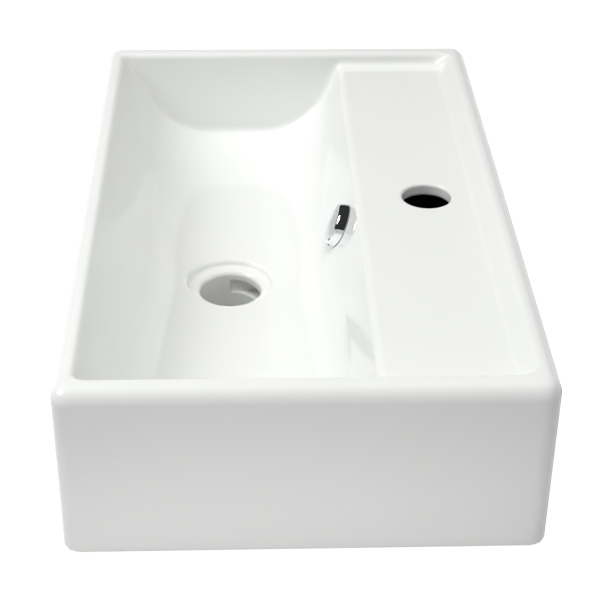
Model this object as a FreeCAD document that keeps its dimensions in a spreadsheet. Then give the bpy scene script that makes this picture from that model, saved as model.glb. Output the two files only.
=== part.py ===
import FreeCAD, Part
import math
import os

import Sketcher

# Wall hung basin with a pull-out overflow cap, in millimetres.
# The wall face is Y = 0 and the front looks towards -Y. X runs along the wall and Z points up.
# The origin is on the wall face, midway between the two wall fixing holes.

sizes = {
    # Casting, outside
    "basinLength": 500.0,
    "basinDepth": 300.0,
    "basinHeight": 120.0,
    "planCornerRound": 12.0,
    "rimOuterRound": 9.0,
    "rimInnerRound": 4.5,
    "footBevel": 1.5,
    # Rim and tap deck
    "frontRimWidth": 12.5,
    "endRimWidth": 18.0,
    "wallRimWidth": 12.5,
    "wallRimLean": 52.0,
    "deckDrop": 8.75,
    "deckWidth": 105.9,
    "deckThickness": 9.5,
    "deckEdgeRound": 6.0,
    "deckCornerRound": 8.0,
    # Trough: wall leans are measured from the vertical, the floor's fall from the level
    "troughFrontLean": 31.0,
    "troughBackLean": 24.0,
    "troughEndLean": 7.75,
    "troughEndDepth": 65.9,
    "floorFall": 4.1,
    "floorBlend": 600.0,
    "floorFlat": 30.6,
    "frontKneeShare": 0.444,
    "creaseRound": 5.0,
    # Underside
    "troughWall": 12.0,
    "apronThickness": 10.0,
    "wallPlateThickness": 12.0,
    "cavityCornerRound": 6.0,
    # Drain hole
    "drainOffset": 5.15,
    "drainDiameter": 45.0,
    "drainSeatDiameter": 61.0,
    "drainSeatDepth": 5.5,
    "drainSeatRise": 2.9,
    "drainSeatWallLean": 15.0,
    "drainBossWall": 12.0,
    "drainBossAboveFoot": 4.0,
    "drainLipBevel": 1.5,
    "drainSeatRound": 3.0,
    # Tap hole
    "tapHoleDiameter": 35.0,
    "tapHoleFromWall": 55.6,
    "tapHoleBevel": 1.2,
    # Wall fixing holes
    "fixingSpacing": 280.0,
    "fixingHoleDiameter": 16.0,
    "fixingAboveFoot": 75.0,
    # Overflow hole and channel
    "overflowDepth": 33.0,
    "overflowHoleDiameter": 22.0,
    "overflowHoleBevel": 1.0,
    "channelWidth": 48.0,
    "channelGap": 10.0,
    "channelCover": 7.0,
    "channelHeadroom": 2.0,
    # Overflow cap
    "capDiameter": 33.0,
    "capBandHeight": 4.2,
    "capDomeRise": 5.0,
    "capWall": 1.2,
    "capStandOff": 0.5,
    "capEdgeBevel": 0.4,
    "capBossDiameter": 7.0,
    "capBossReach": 1.0,
    "inletWidth": 16.0,
    "inletHeight": 1.8,
    # Seat ring inside the cap's skirt
    "ringWidth": 1.4,
    "ringHeight": 1.6,
    "ringStandOff": 0.2,
    # Spring clip
    "clipThickness": 0.6,
    "clipDiscDiameter": 10.0,
    "clipLegCount": 4,
    "clipLegWidth": 4.0,
    "clipLegLength": 15.0,
    "clipShoulderRadius": 8.6,
    "clipFit": 0.05,
    # Screw that holds the clip to the cap
    "screwDiameter": 4.0,
    "screwReach": 4.0,
    "screwHeadDiameter": 6.8,
    "screwHeadHeight": 2.0,
    "screwSlotWidth": 1.0,
    "screwSlotDepth": 1.0,
    "screwFit": 0.05,
    "screwHoleClearance": 0.2,
}

overcut = 5.0
drainOvercut = 15.0
overlap = 2.0
slack = 1.0
tolerance = 0.05
fullTurn = 360.0
rightAngle = 90.0
mouthPoints = 9

doc = FreeCAD.newDocument("wall_hung_basin")


class Bound:
    """A length or angle, as its number and as the sheet expression that gives it."""

    def __init__(self, value, text):
        self.value = float(value)
        self.text = text

    def joined(self, other, sign, value):
        return Bound(value, "(%s %s %s)" % (self.text, sign, other.text))

    def __add__(self, other):
        other = bound(other)
        return self.joined(other, "+", self.value + other.value)

    def __sub__(self, other):
        other = bound(other)
        return self.joined(other, "-", self.value - other.value)

    def __mul__(self, other):
        other = bound(other)
        return self.joined(other, "*", self.value * other.value)

    def __truediv__(self, other):
        other = bound(other)
        return self.joined(other, "/", self.value / other.value)

    def __neg__(self):
        return Bound(-self.value, "(0 - %s)" % self.text)


def bound(number):
    return number if isinstance(number, Bound) else Bound(number, "%.6f" % number)


def tangent(angle):
    return Bound(math.tan(math.radians(angle.value)), "tan(%s)" % angle.text)


def cosine(angle):
    return Bound(math.cos(math.radians(angle.value)), "cos(%s)" % angle.text)


def sine(angle):
    return Bound(math.sin(math.radians(angle.value)), "sin(%s)" % angle.text)


def root(number):
    return Bound(math.sqrt(number.value), "sqrt(%s)" % number.text)


def size(name):
    return Bound(sizes[name], "Sizes." + name)


def half(name):
    return size(name) / 2


def makeSheet():
    sheet = doc.addObject("Spreadsheet::Sheet", "Sizes")
    for row, (name, value) in enumerate(sizes.items(), start=1):
        sheet.set("A%d" % row, name)
        sheet.set("B%d" % row, str(value))
        sheet.setAlias("B%d" % row, name)
    doc.recompute()


def bind(item, path, number):
    item.setExpression(path, bound(number).text)


def newBody(name):
    body = doc.addObject("PartDesign::Body", name)
    body.Label = name
    return body


def newSketch(body, name, role, shift=(0, 0, 0)):
    """A sketch on one of the body's own origin planes, its origin moved by shift."""
    plane = [item for item in body.Origin.OriginFeatures if item.Role == role][0]
    sketch = body.newObject("Sketcher::SketchObject", name)
    sketch.AttachmentSupport = [(plane, "")]
    sketch.MapMode = "FlatFace"
    for axis, amount in zip("xyz", shift):
        bind(sketch, "AttachmentOffset.Base." + axis, amount)
    return sketch


def lock(sketch, geometry, point, x=None, y=None):
    """Fixes a point of a sketch in x, in y or in both."""
    for kind, amount in (("DistanceX", x), ("DistanceY", y)):
        if amount is not None:
            rule = Sketcher.Constraint(kind, geometry, point, amount.value)
            index = sketch.addConstraint(rule)
            bind(sketch, "Constraints[%d]" % index, amount)


def startAngle(centre, corner):
    return math.atan2(corner[1].value - centre[1].value, corner[0].value - centre[0].value)


def addArc(sketch, start, end, centre, radius, clockwise):
    """An arc whose centre and radius are fixed; its ends slide on it."""
    circle = Part.Circle()
    circle.Center = FreeCAD.Vector(centre[0].value, centre[1].value, 0)
    circle.Radius = radius.value
    first, last = (end, start) if clockwise else (start, end)
    span = (startAngle(centre, first), startAngle(centre, last))
    geometry = sketch.addGeometry(Part.ArcOfCircle(circle, *span))
    lock(sketch, geometry, 3, *centre)
    index = sketch.addConstraint(Sketcher.Constraint("Radius", geometry, radius.value))
    bind(sketch, "Constraints[%d]" % index, radius)
    return (geometry, 2, 1) if clockwise else (geometry, 1, 2)


def addOutline(sketch, corners, arcs=None, loose=None):
    """A closed outline. arcs gives centre, radius and direction of the side after a corner, and
    loose names the coordinate of a corner that an arc settles."""
    arcs = arcs or {}
    loose = loose or {}
    corners = [(bound(x), bound(y)) for x, y in corners]
    sides = []
    for index, corner in enumerate(corners):
        following = corners[(index + 1) % len(corners)]
        if index in arcs:
            sides.append(addArc(sketch, corner, following, *arcs[index]))
        else:
            ends = [FreeCAD.Vector(x.value, y.value, 0) for x, y in (corner, following)]
            sides.append((sketch.addGeometry(Part.LineSegment(*ends)), 1, 2))
    for index, (geometry, start, end) in enumerate(sides):
        before = sides[index - 1]
        sketch.addConstraint(Sketcher.Constraint("Coincident", before[0], before[2], geometry, start))
        x, y = corners[index]
        freed = loose.get(index, "")
        lock(sketch, geometry, start, None if freed == "x" else x, None if freed == "y" else y)


def addRectangle(sketch, left, right, low, high):
    addOutline(sketch, [(left, low), (right, low), (right, high), (left, high)])


def addCircle(sketch, x, y, diameter):
    circle = Part.Circle()
    circle.Center = FreeCAD.Vector(bound(x).value, bound(y).value, 0)
    circle.Radius = diameter.value / 2
    geometry = sketch.addGeometry(circle)
    lock(sketch, geometry, 3, bound(x), bound(y))
    index = sketch.addConstraint(Sketcher.Constraint("Diameter", geometry, diameter.value))
    bind(sketch, "Constraints[%d]" % index, diameter)


def pad(body, sketch, length, symmetric=False):
    feature = body.newObject("PartDesign::Pad", sketch.Name + "Pad")
    feature.Profile = sketch
    feature.SideType = "Symmetric" if symmetric else "One side"
    bind(feature, "Length", length)
    doc.recompute()
    return feature


def pocket(body, sketch, length, symmetric=False, flipped=False):
    """A pocket that has to remove material: it stops the build if it removes none."""
    before = body.Tip.Shape.Volume
    feature = body.newObject("PartDesign::Pocket", sketch.Name + "Pocket")
    feature.Profile = sketch
    feature.SideType = "Symmetric" if symmetric else "One side"
    feature.Reversed = flipped
    bind(feature, "Length", length)
    doc.recompute()
    if not feature.Shape.Volume < before:
        raise ValueError(feature.Name + " removed nothing")
    return feature


def turned(body, sketch, kind="Revolution"):
    """A revolution or a groove about the sketch's own upright axis."""
    feature = body.newObject("PartDesign::" + kind, sketch.Name + kind)
    feature.Profile = sketch
    feature.ReferenceAxis = (sketch, ["V_Axis"])
    feature.Angle = fullTurn
    doc.recompute()
    return feature


def dressEdges(body, kind, name, path, amount, test):
    """Rounds or bevels the edges of the body's last feature that pass the test."""
    base = body.Tip
    names = ["Edge%d" % n for n, edge in enumerate(base.Shape.Edges, start=1) if test(edge)]
    if not names:
        raise ValueError(name + " found no edge")
    feature = body.newObject("PartDesign::" + kind, name)
    feature.Base = (base, names)
    bind(feature, path, amount)
    doc.recompute()
    return feature


def fillet(body, name, radius, test):
    return dressEdges(body, "Fillet", name, "Radius", radius, test)


def bevel(body, name, width, test):
    return dressEdges(body, "Chamfer", name, "Size", width, test)


def near(first, second, gap=tolerance):
    return abs(first - second) < gap


def isLevel(edge, level):
    return near(edge.BoundBox.ZMin, level) and near(edge.BoundBox.ZMax, level)


# Levels that the whole casting shares

foot = -size("fixingAboveFoot")
rimTop = size("basinHeight") - size("fixingAboveFoot")
deckLevel = rimTop - size("deckDrop")
cavityRoof = deckLevel - size("deckThickness")

# The two halves of the floor meet in a corner, and the blend there lifts the lowest point

floorReach = half("basinLength") - size("endRimWidth")
floorCorner = rimTop - size("troughEndDepth") - floorReach * tangent(size("floorFall"))
troughFloor = floorCorner + size("floorBlend") * (bound(1) / cosine(size("floorFall")) - 1)


def frontLine(level, wall):
    """Y of the trough's front wall at a level, moved outwards by a wall thickness."""
    lean = size("troughFrontLean")
    top = size("frontRimWidth") - size("basinDepth")
    return top + (rimTop - level) * tangent(lean) - wall / cosine(lean)


def backLine(level, wall):
    lean = size("troughBackLean")
    return -size("deckWidth") - (deckLevel - level) * tangent(lean) + wall / cosine(lean)


def endLine(level, wall):
    lean = size("troughEndLean")
    top = half("basinLength") - size("endRimWidth")
    return top - (rimTop - level) * tangent(lean) + wall / cosine(lean)


def wallRimLine(level):
    return (rimTop - level) * tangent(-size("wallRimLean")) - size("wallRimWidth")


def kneeRadius(span, lean):
    """Radius of the round that takes up this much of the floor beside a leaning wall."""
    return span / tangent((bound(rightAngle) - lean) / 2)


# The knees share what the floor's flat stretch leaves, and the drain sits in that stretch

floorFront = frontLine(troughFloor, bound(0))
kneeSpan = backLine(troughFloor, bound(0)) - floorFront - size("floorFlat")
frontKneeSpan = kneeSpan * size("frontKneeShare")
frontKnee = kneeRadius(frontKneeSpan, size("troughFrontLean"))
backKnee = kneeRadius(kneeSpan - frontKneeSpan, size("troughBackLean"))
drainY = floorFront + frontKneeSpan + half("floorFlat") - size("drainOffset")


def troughSection(wall, top, bottom, withDeck):
    """Outline of the trough across the basin, as seen along X."""
    corners = [
        (frontLine(top, wall), top),
        (frontLine(bottom, wall), bottom),
        (backLine(bottom, wall), bottom),
    ]
    if withDeck:
        corners.append((backLine(deckLevel, wall), deckLevel))
        corners.append((wallRimLine(deckLevel), deckLevel))
        corners.append((wallRimLine(top), top))
    else:
        corners.append((backLine(top, wall), top))
    return corners


def trimEnds(body, name, wall, top, bottom):
    """Cuts both ends of the trough's prism back to its leaning end walls."""
    sketch = newSketch(body, name + "Ends", "XZ_Plane")
    far = size("basinLength")
    for side in (1, -1):
        corners = [
            (endLine(top, wall) * side, top),
            (far * side, top),
            (far * side, bottom),
            (endLine(bottom, wall) * side, bottom),
        ]
        addOutline(sketch, corners)
    pocket(body, sketch, size("basinLength") * 2, symmetric=True)


def trimFloor(body, name, wall, bottom):
    """Gives the prism its floor: two slopes that fall to the drain."""
    fall = size("floorFall")
    far = size("basinLength")
    corner = floorCorner - wall / cosine(fall)
    levelAtFar = corner + far * tangent(fall)
    corners = [(-far, levelAtFar), (0, corner), (far, levelAtFar), (far, bottom), (-far, bottom)]
    sketch = newSketch(body, name + "Floor", "XZ_Plane")
    addOutline(sketch, corners)
    pocket(body, sketch, size("basinLength") * 2, symmetric=True)


def blendFloor(body):
    """Blends the two slopes into each other where they meet."""

    def isFloorCorner(edge):
        return near(edge.BoundBox.XMin, 0) and near(edge.BoundBox.XMax, 0)

    fillet(body, "floorBlend", size("floorBlend"), isFloorCorner)


def roundKnees(body, name, wall):
    """Rounds the floor into the front wall and into the back wall."""
    lowZone = rimTop.value - sizes["troughEndDepth"] / 2
    middle = drainY.value

    def isKnee(edge):
        return edge.BoundBox.XLength > overcut and edge.BoundBox.ZMax < lowZone

    def isFront(edge):
        return isKnee(edge) and edge.CenterOfMass.y < middle

    def isBack(edge):
        return isKnee(edge) and edge.CenterOfMass.y > middle

    fillet(body, name + "FrontKnee", frontKnee + wall, isFront)
    fillet(body, name + "BackKnee", backKnee + wall, isBack)


def makeTrough(name, wall):
    """The trough's outline grown by a wall thickness, up to just inside the deck."""
    wall = bound(wall)
    top = cavityRoof + overlap
    bottom = floorCorner - wall - overcut
    body = newBody(name)
    section = newSketch(body, name + "Section", "YZ_Plane")
    addOutline(section, troughSection(wall, top, bottom, withDeck=False))
    pad(body, section, size("basinLength") * 2, symmetric=True)
    trimEnds(body, name, wall, top, bottom)
    trimFloor(body, name, wall, bottom)
    roundKnees(body, name, wall)
    return body


def makeHollow():
    """Everything that is open inside the rim: the trough and the space over the tap deck."""
    name = "hollow"
    wall = bound(0)
    top = rimTop + overcut
    bottom = floorCorner - overcut
    body = newBody(name)
    section = newSketch(body, name + "Section", "YZ_Plane")
    addOutline(section, troughSection(wall, top, bottom, withDeck=True))
    pad(body, section, size("basinLength") * 2, symmetric=True)
    trimEnds(body, name, wall, top, bottom)
    trimFloor(body, name, wall, bottom)
    blendFloor(body)
    roundKnees(body, name, wall)

    deck = deckLevel.value
    backZone = wallRimLine(deckLevel).value - slack
    frontZone = sizes["deckEdgeRound"] - sizes["deckWidth"]
    cornerReach = sizes["deckDrop"] + slack

    def isDeckCorner(edge):
        box = edge.BoundBox
        return box.YMin > backZone and box.ZLength > sizes["deckDrop"] and box.XLength < cornerReach

    def isDeckEdge(edge):
        return isLevel(edge, deck) and near(edge.BoundBox.YMax, -sizes["deckWidth"])

    def isDeckFoot(edge):
        return isLevel(edge, deck) and edge.BoundBox.YMax > frontZone

    fillet(body, "deckCorner", size("deckCornerRound"), isDeckCorner)
    fillet(body, "deckEdge", size("deckEdgeRound"), isDeckEdge)
    fillet(body, "deckFoot", size("creaseRound"), isDeckFoot)
    return body


def makeBlank():
    """The casting's outside: rim, apron and wall plate, open from below."""
    body = newBody("blank")
    plan = newSketch(body, "plan", "XY_Plane", shift=(0, 0, foot))
    addRectangle(plan, -half("basinLength"), half("basinLength"), -size("basinDepth"), 0)
    pad(body, plan, size("basinHeight"))
    fillet(body, "planCorners", size("planCornerRound"), lambda edge: edge.BoundBox.ZLength > slack)
    top = rimTop.value
    fillet(body, "rimOuter", size("rimOuterRound"), lambda edge: isLevel(edge, top))

    cavity = newSketch(body, "cavity", "XY_Plane", shift=(0, 0, foot))
    inner = half("basinLength") - size("apronThickness")
    front = size("apronThickness") - size("basinDepth")
    addRectangle(cavity, -inner, inner, front, -size("wallPlateThickness"))
    pocket(body, cavity, cavityRoof - foot, flipped=True)
    roof = cavityRoof.value
    low = foot.value

    def isCavityCorner(edge):
        box = edge.BoundBox
        upright = near(box.ZMin, low) and near(box.ZMax, roof)
        return upright and near(box.XLength, 0)

    fillet(body, "cavityCorners", size("cavityCornerRound"), isCavityCorner)
    bevel(body, "footEdges", size("footBevel"), lambda edge: isLevel(edge, low))
    return body


def newBox(name, corner, lengths):
    box = doc.addObject("Part::Box", name)
    for path, amount in zip(("x", "y", "z"), corner):
        bind(box, "Placement.Base." + path, amount)
    for path, amount in zip(("Length", "Width", "Height"), lengths):
        bind(box, path, amount)
    return box


def combine(kind, name, base, tool):
    result = doc.addObject("Part::" + kind, name)
    result.Base = base
    result.Tool = tool
    return result


def overflowChannelTop():
    """Level of the channel's ceiling: just over the overflow hole where it leaves the wall."""
    lean = size("troughBackLean")
    axis = rimTop - size("overflowDepth") - size("troughWall") * sine(lean)
    return axis + half("overflowHoleDiameter") * cosine(lean) + size("channelHeadroom")


def makeChannelPart(name, wall, halfWidth, top):
    """The stretch of a grown trough behind the back wall, from the drain to a level."""
    form = makeTrough(name + "Form", wall)
    corner = (-halfWidth, drainY, foot - overcut)
    lengths = (halfWidth * 2, -drainY, top - foot + overcut)
    return combine("Common", name, form, newBox(name + "Box", corner, lengths))


def makeBoss():
    boss = doc.addObject("Part::Cylinder", "drainBoss")
    bottom = foot + size("drainBossAboveFoot")
    bind(boss, "Radius", half("drainDiameter") + size("drainBossWall"))
    bind(boss, "Height", troughFloor - bottom)
    bind(boss, "Placement.Base.y", drainY)
    bind(boss, "Placement.Base.z", bottom)
    return boss


def makeCastingForm():
    """Blank, boss and channel cover, less the channel, plus the trough's wall, less the hollow."""
    wall = size("troughWall")
    outside = wall + size("channelGap")
    coverHalf = half("channelWidth") + size("channelCover")
    coverTop = cavityRoof + overlap
    cover = makeChannelPart("channelCover", outside + size("channelCover"), coverHalf, coverTop)
    channel = makeChannelPart("channel", outside, half("channelWidth"), overflowChannelTop())
    body = combine("Fuse", "blankAndCover", makeBlank(), cover)
    body = combine("Fuse", "withBoss", body, makeBoss())
    body = combine("Cut", "withChannel", body, channel)
    body = combine("Fuse", "withTrough", body, makeTrough("trough", wall))
    body = combine("Cut", "castingForm", body, makeHollow())
    doc.recompute()
    return body


def overflowPoint():
    """Centre of the overflow hole, on the face of the trough's back wall."""
    level = rimTop - size("overflowDepth")
    return backLine(level, bound(0)), level


def drainSeat():
    """Levels of the drain's lip and of the seat's outer edge."""
    lip = troughFloor - size("drainSeatDepth")
    return lip, lip + size("drainSeatRise")


def cutDrain(body):
    """The drain: a shallow cone for the waste's flange over a straight bore."""
    sketch = newSketch(body, "drain", "YZ_Plane", shift=(drainY, 0, 0))
    bore = half("drainDiameter")
    seat = half("drainSeatDiameter")
    lip, edge = drainSeat()
    above = troughFloor + drainOvercut
    corners = [
        (bound(0), foot),
        (bore, foot),
        (bore, lip),
        (seat, edge),
        (seat + (above - edge) * tangent(size("drainSeatWallLean")), above),
        (bound(0), above),
    ]
    addOutline(sketch, corners)
    turned(body, sketch, "Groove")


def leanBack(item, path):
    """Moves an object's own Z axis onto the overflow hole's axis, out of the back wall."""
    y, z = overflowPoint()
    angle = bound(rightAngle) - size("troughBackLean")
    turn = FreeCAD.Rotation(FreeCAD.Vector(1, 0, 0), angle.value)
    setattr(item, path, FreeCAD.Placement(FreeCAD.Vector(0, y.value, z.value), turn))
    bind(item, path + ".Base.y", y)
    bind(item, path + ".Base.z", z)
    bind(item, path + ".Rotation.Angle", angle)


def cutOverflowHole(body):
    sketch = newSketch(body, "overflowHole", "XY_Plane")
    leanBack(sketch, "AttachmentOffset")
    addCircle(sketch, 0, 0, size("overflowHoleDiameter"))
    pocket(body, sketch, size("troughWall") + half("channelGap"))


def cutTapHole(body):
    sketch = newSketch(body, "tapHole", "XY_Plane", shift=(0, 0, deckLevel))
    addCircle(sketch, 0, -size("tapHoleFromWall"), size("tapHoleDiameter"))
    pocket(body, sketch, size("deckThickness") + overcut)


def cutFixingHoles(body):
    sketch = newSketch(body, "fixingHoles", "XZ_Plane")
    for side in (1, -1):
        addCircle(sketch, half("fixingSpacing") * side, 0, size("fixingHoleDiameter"))
    pocket(body, sketch, size("wallPlateThickness") + overcut, flipped=True)


def roundRim(body):
    """Rounds the rim's inner edge."""
    inside = sizes["rimOuterRound"] + slack
    front = inside - sizes["basinDepth"]

    def isRimInner(edge):
        box = edge.BoundBox
        return isLevel(edge, rimTop.value) and box.YMin > front and box.YMax < -inside

    fillet(body, "rimInner", size("rimInnerRound"), isRimInner)


def bevelTapHole(body):
    def isMouth(edge):
        level = isLevel(edge, deckLevel.value) or isLevel(edge, cavityRoof.value)
        return level and near(edge.BoundBox.XLength, sizes["tapHoleDiameter"])

    bevel(body, "tapHoleMouths", size("tapHoleBevel"), isMouth)


def bevelOverflowHole(body):
    y, z = (amount.value for amount in overflowPoint())
    lean = math.radians(sizes["troughBackLean"])
    middle = FreeCAD.Vector(0, y, z)
    axis = FreeCAD.Vector(0, -math.cos(lean), math.sin(lean))
    radius = sizes["overflowHoleDiameter"] / 2

    def isAtMouth(point):
        height = axis.dot(point - middle)
        aside = (point - middle - axis * height).Length
        return near(height, 0, slack) and near(aside, radius)

    def isMouth(edge):
        return all(isAtMouth(point) for point in edge.discretize(mouthPoints))

    bevel(body, "overflowMouth", size("overflowHoleBevel"), isMouth)


def roundDrain(body):
    """Rounds the edge where the seat breaks out of floor and knees, and bevels the drain's lip."""
    lip, edgeLevel = (level.value for level in drainSeat())
    reach = sizes["drainSeatDiameter"] / 2 + overcut
    top = troughFloor.value + drainOvercut

    def isSeatEdge(edge):
        box = edge.BoundBox
        aside = max(box.XMax, -box.XMin) < reach
        along = max(box.YMax - drainY.value, drainY.value - box.YMin) < reach
        return aside and along and box.ZMin > edgeLevel + slack and box.ZMax < top

    fillet(body, "drainSeatEdge", size("drainSeatRound"), isSeatEdge)
    bevel(body, "drainLip", size("drainLipBevel"), lambda edge: isLevel(edge, lip))


def makeBasin():
    body = newBody("basin_body")
    body.BaseFeature = makeCastingForm()
    doc.recompute()
    cutTapHole(body)
    cutDrain(body)
    cutOverflowHole(body)
    cutFixingHoles(body)
    roundRim(body)
    bevelTapHole(body)
    bevelOverflowHole(body)
    roundDrain(body)
    return body


# The overflow fitting. Each piece is drawn about its own Z axis, which is the hole's axis, with
# Z = 0 on the glaze and its own -Y pointing down the wall.

bandTop = size("capStandOff") + size("capBandHeight")
bossEnd = -size("capBossReach")


def newFittingBody(name):
    body = newBody(name)
    leanBack(body, "Placement")
    return body


def cutInlet(body, bottom):
    """The water inlet: a slot through the lower side of a ring-shaped piece."""
    sketch = newSketch(body, body.Name + "Inlet", "XZ_Plane")
    wide = half("inletWidth")
    top = size("capStandOff") + size("inletHeight")
    addRectangle(sketch, -wide, wide, bottom - overlap, top)
    pocket(body, sketch, half("capDiameter") + overlap, flipped=True)


def capDome():
    """Radius of the cap's dome, and the level of its centre."""
    outer = half("capDiameter")
    rise = size("capDomeRise")
    radius = (outer * outer + rise * rise) / (rise * 2)
    return radius, bandTop + rise - radius


def makeCapDisc():
    """The cap's side band and screw boss, under a flat top with a bevelled edge."""
    outer = half("capDiameter")
    skirt = outer - size("capWall")
    boss = half("capBossDiameter")
    pilot = half("screwDiameter") + size("screwFit")
    pilotTop = bossEnd + size("screwReach") + size("screwHoleClearance")
    radius, middle = capDome()
    inside = radius - size("capWall")
    ceiling = middle + root(inside * inside - skirt * skirt)
    rise = size("capDomeRise")
    shoulder = bandTop - size("capEdgeBevel")
    corners = [
        (0, pilotTop),
        (pilot, pilotTop),
        (pilot, bossEnd),
        (boss, bossEnd),
        (boss, ceiling),
        (skirt, ceiling),
        (skirt, size("capStandOff")),
        (outer, size("capStandOff")),
        (outer, shoulder),
        (outer - rise, shoulder + rise),
        (0, shoulder + rise),
    ]
    body = newBody("capDisc")
    sketch = newSketch(body, "capProfile", "XZ_Plane")
    addOutline(sketch, corners)
    turned(body, sketch)
    return body


def makeCap():
    """The cap: its disc, cut to a dome by a sphere that lies on its side, and its water inlet."""
    radius, middle = capDome()
    sphere = doc.addObject("Part::Sphere", "capSphere")
    sphere.Placement.Rotation = FreeCAD.Rotation(FreeCAD.Vector(0, 1, 0), rightAngle)
    bind(sphere, "Radius", radius)
    bind(sphere, "Placement.Base.z", middle)
    domed = combine("Common", "capForm", makeCapDisc(), sphere)
    doc.recompute()
    body = newFittingBody("overflow_cap")
    body.BaseFeature = domed
    doc.recompute()
    cutInlet(body, size("capStandOff"))
    return body


def makeRing():
    """The seat ring: a soft ring inside the cap's skirt, open at the water inlet."""
    body = newFittingBody("overflow_seat_ring")
    outer = half("capDiameter") - size("capWall")
    low = size("ringStandOff")
    sketch = newSketch(body, "ringProfile", "XZ_Plane")
    addRectangle(sketch, outer - size("ringWidth"), outer, low, low + size("ringHeight"))
    turned(body, sketch)
    cutInlet(body, low)
    return body


def makeClip():
    """The spring clip: a disc with bowed legs that grip the hole's wall."""
    body = newFittingBody("overflow_clip")
    thickness = size("clipThickness")
    low = bossEnd - thickness
    disc = newSketch(body, "clipDisc", "XY_Plane", shift=(0, 0, low))
    addCircle(disc, 0, 0, size("clipDiscDiameter"))
    pad(body, disc, thickness)

    reach = half("overflowHoleDiameter") - size("clipFit")
    side = half("clipLegWidth")
    bow = root(reach * reach - side * side)
    shoulder = size("clipShoulderRadius")
    bottom = bossEnd - size("clipLegLength")
    chord = half("clipLegLength")
    sag = bow - shoulder
    radius = (chord * chord + sag * sag) / (sag * 2)
    centre = (bow - radius, bossEnd - chord)
    inner = radius - thickness
    level = chord - thickness
    innerTop = centre[0] + root(inner * inner - level * level)
    innerBottom = centre[0] + root(inner * inner - chord * chord)
    start = half("clipDiscDiameter") - overlap
    corners = [
        (start, bossEnd),
        (start, low),
        (innerTop, low),
        (innerBottom, bottom),
        (shoulder, bottom),
        (shoulder, bossEnd),
    ]
    leg = newSketch(body, "clipLeg", "XZ_Plane")
    arcs = {2: (centre, inner, True), 4: (centre, radius, False)}
    addOutline(leg, corners, arcs=arcs, loose={2: "x", 3: "x", 4: "x", 5: "x"})
    legPad = pad(body, leg, size("clipLegWidth"), symmetric=True)

    pattern = body.newObject("PartDesign::PolarPattern", "clipLegs")
    pattern.Originals = [legPad]
    pattern.Axis = (disc, ["N_Axis"])
    pattern.Angle = fullTurn
    pattern.Occurrences = sizes["clipLegCount"]
    body.Tip = pattern
    doc.recompute()

    hole = newSketch(body, "clipHole", "XY_Plane", shift=(0, 0, bossEnd))
    addCircle(hole, 0, 0, size("screwDiameter") + size("screwHoleClearance") * 2)
    pocket(body, hole, thickness * 2)
    return body


def makeScrew():
    """The screw: a flat head with a driver slot, its shank up inside the cap's boss."""
    body = newFittingBody("overflow_screw")
    seat = bossEnd - size("clipThickness")
    low = seat - size("screwHeadHeight")
    tip = bossEnd + size("screwReach")
    shank = half("screwDiameter")
    head = half("screwHeadDiameter")
    corners = [(0, low), (head, low), (head, seat), (shank, seat), (shank, tip), (0, tip)]
    sketch = newSketch(body, "screwProfile", "XZ_Plane")
    addOutline(sketch, corners)
    turned(body, sketch)
    slot = newSketch(body, "screwSlot", "XY_Plane", shift=(0, 0, low))
    wide = half("screwSlotWidth")
    addRectangle(slot, -head - overlap, head + overlap, -wide, wide)
    pocket(body, slot, size("screwSlotDepth"), flipped=True)
    return body


def checkObjects():
    for item in doc.Objects:
        if "Invalid" in item.State or "Error" in item.State:
            raise ValueError("%s failed: %s" % (item.Name, item.State))


def checkPiece(piece):
    shape = piece.Shape
    if shape.isNull() or not shape.isValid() or len(shape.Solids) != 1:
        raise ValueError(piece.Label + " is not one valid solid")


makeSheet()
pieces = [makeBasin(), makeCap(), makeRing(), makeClip(), makeScrew()]
doc.recompute()
checkObjects()
for piece in pieces:
    checkPiece(piece)

os.makedirs("parts", exist_ok=True)
for piece in pieces:
    piece.Shape.exportStep("parts/" + piece.Label + ".step")
    print(piece.Label, round(piece.Shape.Volume), "mm3")
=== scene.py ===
import math

import bmesh
import bpy
from mathutils import Matrix, Vector


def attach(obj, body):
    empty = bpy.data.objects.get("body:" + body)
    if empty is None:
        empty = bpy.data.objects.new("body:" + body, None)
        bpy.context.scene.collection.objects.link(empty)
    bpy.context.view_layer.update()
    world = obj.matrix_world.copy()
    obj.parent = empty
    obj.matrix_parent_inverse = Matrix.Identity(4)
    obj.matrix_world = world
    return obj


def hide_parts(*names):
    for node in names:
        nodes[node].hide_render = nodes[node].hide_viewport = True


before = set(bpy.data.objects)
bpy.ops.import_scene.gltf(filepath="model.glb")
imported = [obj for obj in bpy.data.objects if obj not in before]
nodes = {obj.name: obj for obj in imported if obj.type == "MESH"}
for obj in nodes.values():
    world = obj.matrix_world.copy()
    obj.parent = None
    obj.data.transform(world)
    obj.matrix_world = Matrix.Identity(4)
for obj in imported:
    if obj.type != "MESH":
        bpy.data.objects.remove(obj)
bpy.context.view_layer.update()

mm = 0.001


# Small helpers for objects and node trees

def addObject(name, data):
    item = bpy.data.objects.new(name, data)
    bpy.context.scene.collection.objects.link(item)
    return item


def newMaterial(name):
    material = bpy.data.materials.new(name)
    material.use_nodes = True
    tree = material.node_tree
    return material, tree, tree.nodes["Principled BSDF"]


def addNode(tree, kind, **settings):
    node = tree.nodes.new(kind)
    for key, value in settings.items():
        setattr(node, key, value)
    return node


def setInputs(node, **values):
    for name, value in values.items():
        node.inputs[name.replace("_", " ")].default_value = value


def addMath(tree, operation, first, second=None):
    node = addNode(tree, "ShaderNodeMath", operation=operation)
    for socket, value in zip(node.inputs, (first, second)):
        if value is None:
            continue
        if isinstance(value, (int, float)):
            socket.default_value = value
        else:
            tree.links.new(value, socket)
    return node.outputs[0]


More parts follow.
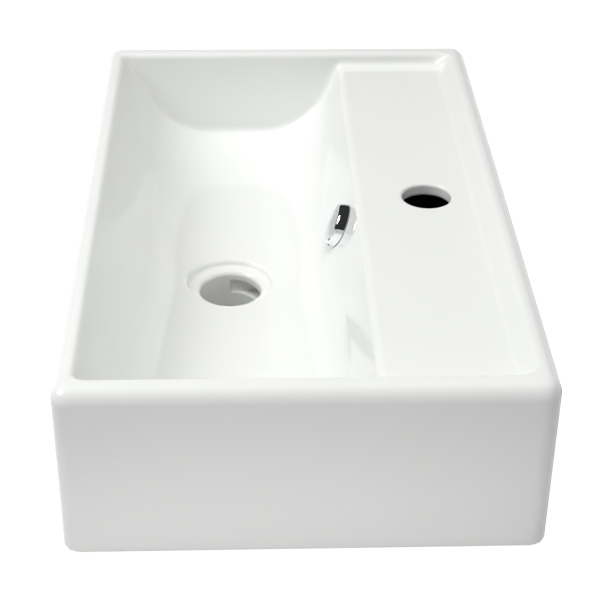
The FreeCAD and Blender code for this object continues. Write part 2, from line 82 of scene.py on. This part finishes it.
def addRange(tree, value, low, high, fromLow=0.0, fromHigh=1.0, smooth=False):
    node = addNode(tree, "ShaderNodeMapRange")
    node.interpolation_type = "SMOOTHSTEP" if smooth else "LINEAR"
    tree.links.new(value, node.inputs["Value"])
    setInputs(node, From_Min=fromLow, From_Max=fromHigh, To_Min=low, To_Max=high)
    return node.outputs["Result"]


def addNoise(tree, place, scale, detail=3.0, roughness=0.5):
    node = addNode(tree, "ShaderNodeTexNoise")
    setInputs(node, Scale=scale, Detail=detail, Roughness=roughness)
    tree.links.new(place, node.inputs["Vector"])
    return node.outputs["Fac"]


def objectPlace(tree):
    return addNode(tree, "ShaderNodeTexCoord").outputs["Object"]


def splitPlace(tree, place):
    apart = addNode(tree, "ShaderNodeSeparateXYZ")
    tree.links.new(place, apart.inputs[0])
    return apart.outputs


def colourSockets(sockets):
    return [socket for socket in sockets if socket.type == "RGBA"]


def mixColours(tree, factor, first, second):
    node = addNode(tree, "ShaderNodeMix", data_type="RGBA")
    tree.links.new(factor, node.inputs[0])
    for socket, value in zip(colourSockets(node.inputs), (first, second)):
        if isinstance(value, tuple):
            socket.default_value = value
        else:
            tree.links.new(value, socket)
    return colourSockets(node.outputs)[0]


def addBump(tree, shader, height, strength, distance, normal=None):
    bump = addNode(tree, "ShaderNodeBump")
    setInputs(bump, Strength=strength, Distance=distance)
    tree.links.new(height, bump.inputs["Height"])
    if normal:
        tree.links.new(normal, bump.inputs["Normal"])
    tree.links.new(bump.outputs[0], shader.inputs["Normal"])


# The photograph's own viewpoint, in metres and degrees

cameraSpot = {
    "location": (0.964836, -0.182964, 0.567898),
    "rotation": (57.314, -0.536, 88.133),
    "lens": 92.13,
    "sensor": 36.0,
}


def makeCamera():
    lens = bpy.data.cameras.new("photoCamera")
    lens.lens = cameraSpot["lens"]
    lens.sensor_width = cameraSpot["sensor"]
    camera = addObject("photoCamera", lens)
    camera.location = cameraSpot["location"]
    camera.rotation_euler = [math.radians(angle) for angle in cameraSpot["rotation"]]
    bpy.context.scene.camera = camera


# Studio: a pale floor and backdrop under a soft sky, with a large lamp on the front's side

studio = {
    "floorLevel": -0.0752,
    "floorRadius": 2.6,
    "floorSteps": 96,
    "floorColour": (0.36, 0.36, 0.36, 1),
    "floorRoughness": 0.9,
    "floorLift": 0.90,             # seen but lighting nothing, so the floor reads white
    "patchMiddle": -0.15,          # the unlifted patch under the basin, along Y
    "patchReach": (0.246, 0.146),  # its half length and half depth
    "skyHorizon": 0.02,
    "skyZenith": 0.45,
    "skyRise": (0.0, 0.9),         # sine of the elevation over which the sky brightens
    "ceilingDark": 0.03,           # what reflections show above the pale backdrop
    "backdropTop": (0.1, 0.24),    # sine of the elevation where the backdrop ends
}

lamps = [
    {   # broad light from the front's side, the only lamp that shows in reflections
        "name": "keyLamp",
        "spot": (-0.02, -1.5, 1.3),
        "aim": (0, -0.15, 0),
        "size": (0.9, 0.9),
        "power": 15.5,
        "mirrored": True,
    },
    {   # soft light from above
        "name": "topLamp",
        "spot": (0.44, -0.2, 2.0),
        "aim": (0, -0.15, 0),
        "size": (0.9, 0.9),
        "power": 21.0,
        "mirrored": False,
    },
    {   # a low strip that lights the foot of the near end
        "name": "lowLamp",
        "spot": (0.41, -0.17, -0.066),
        "aim": (0.25, -0.16, -0.05),
        "size": (0.44, 0.02),
        "power": 0.19,
        "mirrored": False,
    },
]


# Rays that see the backdrop, as against those that carry its light
def seenRays(tree, light):
    seen = addMath(tree, "MAXIMUM", light.outputs["Is Camera Ray"], light.outputs["Is Glossy Ray"])
    return addMath(tree, "MAXIMUM", seen, light.outputs["Is Transmission Ray"])


def makeFloor():
    mesh = bpy.data.meshes.new("studioFloor")
    shape = bmesh.new()
    bmesh.ops.create_circle(
        shape, cap_ends=True, radius=studio["floorRadius"], segments=studio["floorSteps"])
    bmesh.ops.translate(shape, verts=shape.verts, vec=(0, 0, studio["floorLevel"]))
    shape.to_mesh(mesh)
    shape.free()
    floor = addObject("studioFloor", mesh)

    material, tree, shader = newMaterial("studioFloor")
    setInputs(
        shader, Base_Color=studio["floorColour"], Roughness=studio["floorRoughness"],
        Specular_IOR_Level=0.0, Emission_Color=(1, 1, 1, 1))
    along = splitPlace(tree, objectPlace(tree))
    halfLength, halfDepth = studio["patchReach"]
    fromMiddle = addMath(tree, "SUBTRACT", along["Y"], studio["patchMiddle"])
    pastX = addMath(tree, "GREATER_THAN", addMath(tree, "ABSOLUTE", along["X"]), halfLength)
    pastY = addMath(tree, "GREATER_THAN", addMath(tree, "ABSOLUTE", fromMiddle), halfDepth)
    clear = addMath(tree, "MAXIMUM", pastX, pastY)
    seen = addMath(tree, "MULTIPLY", clear, seenRays(tree, addNode(tree, "ShaderNodeLightPath")))
    lift = addMath(tree, "MULTIPLY", seen, studio["floorLift"])
    tree.links.new(lift, shader.inputs["Emission Strength"])

    # the floor is clear from below, so that the underside can be seen
    side = addNode(tree, "ShaderNodeNewGeometry")
    clearSheet = addNode(tree, "ShaderNodeBsdfTransparent")
    choice = addNode(tree, "ShaderNodeMixShader")
    tree.links.new(side.outputs["Backfacing"], choice.inputs[0])
    tree.links.new(shader.outputs[0], choice.inputs[1])
    tree.links.new(clearSheet.outputs[0], choice.inputs[2])
    tree.links.new(choice.outputs[0], tree.nodes["Material Output"].inputs["Surface"])
    mesh.materials.append(material)


def makeSky():
    world = bpy.data.worlds.new("studioSky")
    bpy.context.scene.world = world
    world.use_nodes = True
    tree = world.node_tree
    background = tree.nodes["Background"]
    setInputs(background, Color=(1, 1, 1, 1))
    height = splitPlace(tree, addNode(tree, "ShaderNodeTexCoord").outputs["Generated"])["Z"]
    glow = addRange(
        tree, height, studio["skyHorizon"], studio["skyZenith"], *studio["skyRise"], smooth=True)
    backdrop = addRange(
        tree, height, 1.0, studio["ceilingDark"], *studio["backdropTop"], smooth=True)
    light = addNode(tree, "ShaderNodeLightPath")
    shown = addMath(tree, "MAXIMUM", backdrop, light.outputs["Is Camera Ray"])
    strength = addNode(tree, "ShaderNodeMapRange")
    tree.links.new(seenRays(tree, light), strength.inputs["Value"])
    tree.links.new(glow, strength.inputs["To Min"])
    tree.links.new(shown, strength.inputs["To Max"])
    tree.links.new(strength.outputs["Result"], background.inputs["Strength"])


def makeLamps():
    for lamp in lamps:
        light = bpy.data.lights.new(lamp["name"], "AREA")
        light.shape = "RECTANGLE"
        light.size, light.size_y = lamp["size"]
        light.energy = lamp["power"]
        holder = addObject(lamp["name"], light)
        holder.location = lamp["spot"]
        aim = Vector(lamp["aim"]) - Vector(lamp["spot"])
        holder.rotation_euler = aim.to_track_quat("-Z", "Y").to_euler()
        holder.visible_camera = False
        holder.visible_glossy = lamp["mirrored"]


makeCamera()
makeFloor()
makeSky()
makeLamps()
print("studio ready")


# The basin keeps its CAD node and gets a fired glaze, bare on the wall face and the foot

glaze = {
    "colour": (0.862, 0.872, 0.855, 1),
    "pooled": (0.845, 0.858, 0.842, 1),
    "poolScale": 9.0,
    "poolSpread": (0.35, 0.7),
    "roughness": (0.03, 0.075),
    "sheenScale": 45.0,
    "sheenSpread": (0.3, 0.7),
    "refraction": 1.52,
    "edgeRound": 0.003,
    "edgeSamples": 6,
    "rippleScale": 38.0,
    "rippleStrength": 0.35,
    "rippleHeight": 0.00012,
}

biscuit = {
    "colour": (0.78, 0.745, 0.69, 1),
    "darker": (0.702, 0.6705, 0.621, 1),
    "roughness": 0.75,
    "grainScale": 900.0,
    "grainHeight": 0.6,
    "footLevel": -0.0740,
    "wallLevel": -0.0016,
    "wallEdge": 0.0019,
    "raggedScale": 160.0,
    "raggedReach": 0.0012,
}


# Where the glaze stops: a ragged line near the wall face and near the foot
def bareShare(tree, place):
    along = splitPlace(tree, place)
    noise = addNoise(tree, place, biscuit["raggedScale"], detail=4.0)
    ragged = addMath(tree, "MULTIPLY", noise, biscuit["raggedReach"])
    wallFace = addMath(tree, "GREATER_THAN", along["Y"], biscuit["wallLevel"])
    wallEdge = addMath(tree, "SUBTRACT", ragged, biscuit["wallEdge"])
    wallLine = addMath(tree, "GREATER_THAN", along["Y"], wallEdge)
    footEdge = addMath(tree, "SUBTRACT", biscuit["footLevel"], ragged)
    footFace = addMath(tree, "LESS_THAN", along["Z"], footEdge)
    return addMath(tree, "MAXIMUM", footFace, addMath(tree, "MULTIPLY", wallFace, wallLine))


def glazeMaterial():
    material, tree, shader = newMaterial("whiteGlaze")
    place = objectPlace(tree)
    bare = bareShare(tree, place)
    grain = addNoise(tree, place, biscuit["grainScale"], roughness=0.7)

    cloud = addNoise(tree, place, glaze["poolScale"], detail=2.0)
    share = addRange(tree, cloud, 0.0, 1.0, *glaze["poolSpread"], smooth=True)
    glazed = mixColours(tree, share, glaze["colour"], glaze["pooled"])
    clay = mixColours(tree, grain, biscuit["colour"], biscuit["darker"])
    tree.links.new(mixColours(tree, bare, glazed, clay), shader.inputs["Base Color"])

    sheen = addNoise(tree, place, glaze["sheenScale"])
    rough = addNode(tree, "ShaderNodeMix", data_type="FLOAT")
    tree.links.new(bare, rough.inputs[0])
    polish = addRange(tree, sheen, *glaze["roughness"], *glaze["sheenSpread"])
    tree.links.new(polish, rough.inputs[2])
    rough.inputs[3].default_value = biscuit["roughness"]
    tree.links.new(rough.outputs[0], shader.inputs["Roughness"])
    setInputs(shader, IOR=glaze["refraction"])

    soft = addNode(tree, "ShaderNodeBevel", samples=glaze["edgeSamples"])
    setInputs(soft, Radius=glaze["edgeRound"])
    bareHeight = addMath(tree, "MULTIPLY", bare, biscuit["grainHeight"])
    clayGrain = addMath(tree, "MULTIPLY", grain, bareHeight)
    ripple = addMath(tree, "ADD", addNoise(tree, place, glaze["rippleScale"], detail=2.0), clayGrain)
    strength, height = glaze["rippleStrength"], glaze["rippleHeight"]
    addBump(tree, shader, ripple, strength, height, soft.outputs[0])
    return material


whiteGlaze = glazeMaterial()
for surface in nodes["basin_body"].material_slots:
    surface.material = whiteGlaze
print("basin glazed")


# The overflow fitting is drawn in millimetres about its own Z axis, the overflow hole's axis,
# with its own -Y pointing down the trough's back wall

fitting = {
    "middle": (0.0, -0.116697, 0.012),
    "lean": 66.0,
    "sharpAngle": 35.0,
    "poleRadius": 1e-6,     # a smaller radius is a point on the axis
    "weldReach": 1e-5,
}


def seat(mesh):
    turn = Matrix.Rotation(math.radians(fitting["lean"]), 4, "X")
    mesh.transform(Matrix.Translation(fitting["middle"]) @ turn @ Matrix.Scale(mm, 4))


def arcPoints(centre, radius, start, end, count):
    points = []
    for step in range(count + 1):
        angle = math.radians(start + (end - start) * step / count)
        points.append((centre[0] + radius * math.cos(angle), centre[1] + radius * math.sin(angle)))
    return points


# Turns a profile of radius and height about the Z axis
def spin(profile, steps, start=0.0, sweep=360.0):
    shape = bmesh.new()
    closed = sweep >= 360.0
    columns = []
    for step in range(steps if closed else steps + 1):
        angle = math.radians(start + sweep * step / steps)
        columns.append((math.cos(angle), math.sin(angle)))
    rings = []
    for radius, height in profile:
        if radius < fitting["poleRadius"]:
            rings.append([shape.verts.new((0, 0, height))])
        else:
            rings.append([shape.verts.new((radius * c, radius * s, height)) for c, s in columns])
    count = len(columns) if closed else len(columns) - 1
    for low, high in zip(rings, rings[1:]):
        for n in range(count):
            m = (n + 1) % len(columns)
            if len(low) == 1:
                shape.faces.new((low[0], high[m], high[n]))
            elif len(high) == 1:
                shape.faces.new((low[n], low[m], high[0]))
            else:
                shape.faces.new((low[n], low[m], high[m], high[n]))
    if not closed:
        for n in (0, -1):
            shape.faces.new([ring[n] for ring in rings[:-1]])
        bmesh.ops.remove_doubles(shape, verts=shape.verts, dist=fitting["weldReach"])
    return shape


def meshFrom(name, shape):
    bmesh.ops.recalc_face_normals(shape, faces=shape.faces)
    mesh = bpy.data.meshes.new(name)
    shape.to_mesh(mesh)
    shape.free()
    return mesh


# The shape that an object's modifiers give; the object itself goes
def takeResult(holder):
    graph = bpy.context.evaluated_depsgraph_get()
    mesh = bpy.data.meshes.new_from_object(holder.evaluated_get(graph))
    bpy.data.objects.remove(holder)
    return mesh


def finishPiece(name, shape, material, node):
    mesh = meshFrom(name, shape)
    seat(mesh)
    mesh.shade_smooth()
    mesh.set_sharp_from_angle(angle=math.radians(fitting["sharpAngle"]))
    mesh.materials.append(material)
    piece = addObject(name, mesh)
    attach(piece, "overflow_fitting")
    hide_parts(node)


# Overflow cap: a thin plated shell with a boss for the screw

cap = {
    "radius": 16.5,
    "standOff": 0.5,
    "bandHeight": 4.2,
    "bandRise": 4.6,
    "bandLean": (10.0, 20.0),     # the band closes a little towards the dome, at its foot and top
    "bandSteps": 8,
    "domeRise": 5.0,
    "domeRadius": 45.0,
    "domeSteps": 18,
    "shoulderSteps": 12,
    "lipRound": 0.3,
    "lipSteps": 4,
    "wall": 1.2,
    "ceiling": (14.1, 4.8),       # radius and height of the hollow's upper corner
    "bossRadius": 3.5,
    "bossEnd": -1.0,
    "pilotRadius": 2.05,
    "pilotTop": 3.2,
    "inletHalfWidth": 8.0,
    "inletTop": 2.3,
    "inletBlend": 1.0,
    "skirtSlack": 0.01,
    "skirtRise": 0.4,             # the skirt is straight to this far above the inlet
    "steps": 160,
}

chrome = {
    "bright": (0.93, 0.95, 0.97, 1),
    "hazy": (0.88, 0.90, 0.92, 1),
    "hazeScale": 90.0,
    "hazeSpread": (0.3, 0.7),
    "roughness": (0.04, 0.055),
    "bumpScale": 420.0,
    "bumpStrength": 0.1,
    "bumpHeight": 0.000004,
}


def chromeMaterial():
    material, tree, shader = newMaterial("capChrome")
    place = objectPlace(tree)
    setInputs(shader, Metallic=1.0)
    haze = addNoise(tree, place, chrome["hazeScale"], detail=2.0)
    tint = mixColours(tree, haze, chrome["bright"], chrome["hazy"])
    tree.links.new(tint, shader.inputs["Base Color"])
    rough = addRange(tree, haze, *chrome["roughness"], *chrome["hazeSpread"])
    tree.links.new(rough, shader.inputs["Roughness"])
    dimple = addNoise(tree, place, chrome["bumpScale"], detail=2.0)
    addBump(tree, shader, dimple, chrome["bumpStrength"], chrome["bumpHeight"])
    return material


def capBand(foot):
    rise, steps = cap["bandRise"], cap["bandSteps"]
    low, high = [math.tan(math.radians(lean)) for lean in cap["bandLean"]]
    band = []
    for step in range(steps + 1):
        up = rise * step / steps
        band.append((cap["radius"] - low * up - (high - low) * up * up / (2 * rise), foot + up))
    return band


def capProfile():
    ball = cap["domeRadius"]
    middle = cap["standOff"] + cap["bandHeight"] + cap["domeRise"] - ball
    lip = cap["lipRound"]
    band = capBand(cap["standOff"] + lip)
    # the shoulder's arc leaves the band along its lean and meets the dome along the dome's own
    x, z = band[-1][0], band[-1][1] - middle
    lean = math.radians(cap["bandLean"][1])
    edge = (ball ** 2 - x ** 2 - z ** 2) / (2 * (ball - x * math.cos(lean) - z * math.sin(lean)))
    edgeX, edgeZ = x - edge * math.cos(lean), z - edge * math.sin(lean)
    meet = math.degrees(math.atan2(edgeZ, edgeX))
    skirt = cap["radius"] - cap["wall"]
    inside, ceiling = cap["ceiling"]
    profile = [(0.0, middle + ball)]
    profile += arcPoints((0, middle), ball, 90, meet, cap["domeSteps"])[1:]
    shoulder = (edgeX, edgeZ + middle)
    profile += arcPoints(shoulder, edge, meet, cap["bandLean"][1], cap["shoulderSteps"])[1:]
    profile += band[-2::-1]
    lipMiddle = (cap["radius"] - lip, cap["standOff"] + lip)
    profile += arcPoints(lipMiddle, lip, 0, -90, cap["lipSteps"])
    profile += [(skirt, cap["standOff"]), (skirt, cap["inletTop"] + cap["skirtRise"])]
    profile += [(inside, ceiling), (cap["bossRadius"], ceiling)]
    profile += [(cap["bossRadius"], cap["bossEnd"]), (cap["pilotRadius"], cap["bossEnd"])]
    profile += [(cap["pilotRadius"], cap["pilotTop"]), (0.0, cap["pilotTop"])]
    return profile


# Lifts the skirt's lower edge over the water inlet, which looks down the wall. A known fault:
# the lifted rings pass the next one up, so the band folds over itself here
def openInlet(shape):
    lift = cap["inletTop"] - cap["standOff"]
    blend = cap["inletBlend"]
    for vert in shape.verts:
        outside = math.hypot(vert.co.x, vert.co.y) > cap["radius"] - cap["wall"] - cap["skirtSlack"]
        if outside and vert.co.y < 0 and vert.co.z < cap["inletTop"]:
            share = (cap["inletHalfWidth"] + blend / 2 - abs(vert.co.x)) / blend
            share = min(max(share, 0.0), 1.0)
            vert.co.z += lift * share * share * (3 - 2 * share)


def makeCap():
    shape = spin(capProfile(), cap["steps"])
    openInlet(shape)
    finishPiece("overflowCap", shape, chromeMaterial(), "overflow_cap")


# Seat ring: soft, cut open where the water comes in

ring = {
    "outer": 15.3,
    "width": 1.4,
    "low": 0.2,
    "height": 1.6,
    "round": 0.35,
    "roundSteps": 4,
    "gapHalfWidth": 8.0,
    "steps": 96,
}

rubber = {
    "colour": (0.30, 0.30, 0.295, 1),
    "bloom": (0.36, 0.36, 0.35, 1),
    "bloomScale": 700.0,
    "roughness": (0.55, 0.8),
    "bumpScale": 2400.0,
    "bumpStrength": 0.3,
    "bumpHeight": 0.00005,
}


def rubberMaterial():
    material, tree, shader = newMaterial("seatRubber")
    place = objectPlace(tree)
    bloom = addNoise(tree, place, rubber["bloomScale"], detail=4.0)
    tint = mixColours(tree, bloom, rubber["colour"], rubber["bloom"])
    tree.links.new(tint, shader.inputs["Base Color"])
    tree.links.new(addRange(tree, bloom, *rubber["roughness"]), shader.inputs["Roughness"])
    pores = addNoise(tree, place, rubber["bumpScale"], detail=2.0)
    addBump(tree, shader, pores, rubber["bumpStrength"], rubber["bumpHeight"])
    return material


def makeRing():
    inner = ring["outer"] - ring["width"]
    low, high, r = ring["low"], ring["low"] + ring["height"], ring["round"]
    corners = [
        (ring["outer"] - r, low + r), (ring["outer"] - r, high - r),
        (inner + r, high - r), (inner + r, low + r)]
    profile = []
    for n, corner in enumerate(corners):
        profile += arcPoints(corner, r, 90 * n - 90, 90 * n, ring["roundSteps"])
    profile.append(profile[0])
    gap = math.degrees(math.asin(ring["gapHalfWidth"] / ring["outer"]))
    shape = spin(profile, ring["steps"], start=gap - 90, sweep=360 - 2 * gap)
    finishPiece("seatRing", shape, rubberMaterial(), "overflow_seat_ring")


# Clip screw: a slotted head under the clip's disc

steel = {
    "bright": (0.60, 0.60, 0.61, 1),
    "dull": (0.48, 0.48, 0.49, 1),
    "grainScale": 1500.0,
    "roughness": (0.18, 0.36),
    "bumpStrength": 0.3,
    "bumpHeight": 0.00003,
    "screwStretch": (0.3, 0.3, 1.0),    # texture scale in X, Y and Z: under 1 draws the grain out
    "springStretch": (1.0, 0.15, 0.15),
}


def steelMaterial(name, stretch):
    material, tree, shader = newMaterial(name)
    turn = addNode(tree, "ShaderNodeMapping")
    setInputs(turn, Scale=stretch)
    tree.links.new(objectPlace(tree), turn.inputs["Vector"])
    grain = addNoise(tree, turn.outputs[0], steel["grainScale"], roughness=0.6)
    setInputs(shader, Metallic=1.0)
    tint = mixColours(tree, grain, steel["bright"], steel["dull"])
    tree.links.new(tint, shader.inputs["Base Color"])
    tree.links.new(addRange(tree, grain, *steel["roughness"]), shader.inputs["Roughness"])
    addBump(tree, shader, grain, steel["bumpStrength"], steel["bumpHeight"])
    return material


screw = {
    "headLow": -3.6,
    "headRadius": 3.4,
    "headRound": 0.35,
    "headSteps": 5,
    "seat": -1.6,
    "shankRadius": 2.0,
    "tip": 3.0,
    "tipBevel": 0.5,
    "slotWidth": 1.0,
    "slotDepth": 1.0,
    "steps": 64,
}


def makeScrew():
    r = screw["headRound"]
    profile = [(0.0, screw["headLow"])]
    edge = (screw["headRadius"] - r, screw["headLow"] + r)
    profile += arcPoints(edge, r, -90, 0, screw["headSteps"])
    profile += [(screw["headRadius"], screw["seat"]), (screw["shankRadius"], screw["seat"])]
    profile += [(screw["shankRadius"], screw["tip"] - screw["tipBevel"])]
    profile += [(screw["shankRadius"] - screw["tipBevel"], screw["tip"]), (0.0, screw["tip"])]
    blank = addObject("screwBlank", meshFrom("screwBlank", spin(profile, screw["steps"])))

    cutter = bmesh.new()
    reach = (screw["headRadius"] * 3, screw["slotWidth"], screw["slotDepth"] * 2)
    bmesh.ops.create_cube(cutter, size=1.0)
    bmesh.ops.scale(cutter, verts=cutter.verts, vec=reach)
    bmesh.ops.translate(cutter, verts=cutter.verts, vec=(0, 0, screw["headLow"]))
    tool = addObject("screwSlot", meshFrom("screwSlot", cutter))
    cut = blank.modifiers.new("slot", "BOOLEAN")
    cut.operation = "DIFFERENCE"
    cut.object = tool
    cut.solver = "EXACT"
    shape = bmesh.new()
    shape.from_mesh(takeResult(blank))
    bpy.data.objects.remove(tool)
    material = steelMaterial("screwSteel", steel["screwStretch"])
    finishPiece("clipScrew", shape, material, "overflow_screw")


# Spring clip: a pierced disc with bowed legs that grip the hole

clip = {
    "legCount": 4,
    "legWidth": 4.0,
    "thickness": 0.6,
    "top": -1.0,
    "length": 15.0,
    "bow": 10.766,
    "bowSteps": 20,
    "shoulder": 8.6,
    "bend": 1.1,
    "bendShape": ((1.0, 0.0), (0.35, 0.12), (0.05, 0.45)),  # shares of the bend, inwards and down
    "discRadius": 5.0,
    "discOverlap": 1.2,
    "discSteps": 64,
    "holeRadius": 2.2,
    "tipTaper": 0.18,
    "tipRows": 4,
}


# Middle line of a leg: out from the disc, round a bend and down a bowed strip
def legPath():
    half = clip["length"] / 2
    sag = clip["bow"] - clip["shoulder"]
    radius = (half * half + sag * sag) / (2 * sag)
    centre = (clip["bow"] - radius, clip["top"] - half)
    inset = clip["thickness"] / 2
    line = radius - inset
    start = math.degrees(math.asin((half - clip["bend"]) / line))
    end = -math.degrees(math.asin((half - inset) / line))
    bow = arcPoints(centre, line, start, end, clip["bowSteps"])
    level = clip["top"] - inset
    bend = [(bow[0][0] - clip["bend"] * a, level - clip["bend"] * b) for a, b in clip["bendShape"]]
    return [(clip["discRadius"] - clip["discOverlap"], level)] + bend + bow


def legMesh():
    path = [Vector((x, 0, z)) for x, z in legPath()]
    shape = bmesh.new()
    rows = []
    for n, point in enumerate(path):
        before = path[max(n - 1, 0)]
        after = path[min(n + 1, len(path) - 1)]
        across = Vector((0, 1, 0)).cross((after - before).normalized()) * clip["thickness"] / 2
        pastTaper = (n - len(path) + 1 + clip["tipRows"]) / clip["tipRows"]
        taper = 1.0 - clip["tipTaper"] * max(0.0, pastTaper)
        side = Vector((0, clip["legWidth"] / 2 * taper, 0))
        corners = (across + side, across - side, -across - side, side - across)
        rows.append([shape.verts.new(point + corner) for corner in corners])
    for low, high in zip(rows, rows[1:]):
        for n in range(4):
            m = (n + 1) % 4
            shape.faces.new((low[n], low[m], high[m], high[n]))
    shape.faces.new(rows[0])
    shape.faces.new(rows[-1][::-1])
    return meshFrom("clipLeg", shape)


# Geometry nodes that set copies of the leg evenly round the clip's axis
def legTree():
    tree = bpy.data.node_groups.new("clipLegs", "GeometryNodeTree")
    face = tree.interface
    face.new_socket("Geometry", in_out="INPUT", socket_type="NodeSocketGeometry")
    face.new_socket("Leg Count", in_out="INPUT", socket_type="NodeSocketInt")
    face.new_socket("Steel", in_out="INPUT", socket_type="NodeSocketMaterial")
    face.new_socket("Geometry", in_out="OUTPUT", socket_type="NodeSocketGeometry")
    given = tree.nodes.new("NodeGroupInput")
    result = tree.nodes.new("NodeGroupOutput")
    line = tree.nodes.new("GeometryNodeMeshLine")
    setInputs(line, Offset=(0, 0, 0))
    index = tree.nodes.new("GeometryNodeInputIndex")
    share = addMath(tree, "DIVIDE", index.outputs[0], given.outputs["Leg Count"])
    turn = addMath(tree, "MULTIPLY", share, math.tau)
    angles = tree.nodes.new("ShaderNodeCombineXYZ")
    copies = tree.nodes.new("GeometryNodeInstanceOnPoints")
    real = tree.nodes.new("GeometryNodeRealizeInstances")
    coat = tree.nodes.new("GeometryNodeSetMaterial")
    tree.links.new(given.outputs["Leg Count"], line.inputs["Count"])
    tree.links.new(turn, angles.inputs["Z"])
    tree.links.new(line.outputs["Mesh"], copies.inputs["Points"])
    tree.links.new(given.outputs["Geometry"], copies.inputs["Instance"])
    tree.links.new(angles.outputs[0], copies.inputs["Rotation"])
    tree.links.new(copies.outputs["Instances"], real.inputs["Geometry"])
    tree.links.new(real.outputs["Geometry"], coat.inputs["Geometry"])
    tree.links.new(given.outputs["Steel"], coat.inputs["Material"])
    tree.links.new(coat.outputs["Geometry"], result.inputs["Geometry"])
    return tree


def makeClip():
    material = steelMaterial("springSteel", steel["springStretch"])
    holder = addObject("clipLegs", legMesh())
    pattern = holder.modifiers.new("clipLegs", "NODES")
    pattern.node_group = legTree()
    values = {"Leg Count": clip["legCount"], "Steel": material}
    for socket in pattern.node_group.interface.items_tree:
        if socket.in_out == "INPUT" and socket.name in values:
            pattern[socket.identifier] = values[socket.name]
    legs = takeResult(holder)

    low, high = clip["top"] - clip["thickness"], clip["top"]
    outer, hole = clip["discRadius"], clip["holeRadius"]
    section = [(hole, low), (outer, low), (outer, high), (hole, high), (hole, low)]
    shape = spin(section, clip["discSteps"])
    bmesh.ops.remove_doubles(shape, verts=shape.verts, dist=fitting["weldReach"])
    shape.from_mesh(legs)
    finishPiece("springClip", shape, material, "overflow_clip")


makeCap()
makeRing()
makeScrew()
makeClip()
print("overflow fitting made")

bpy.context.scene.view_settings.view_transform = "Standard"
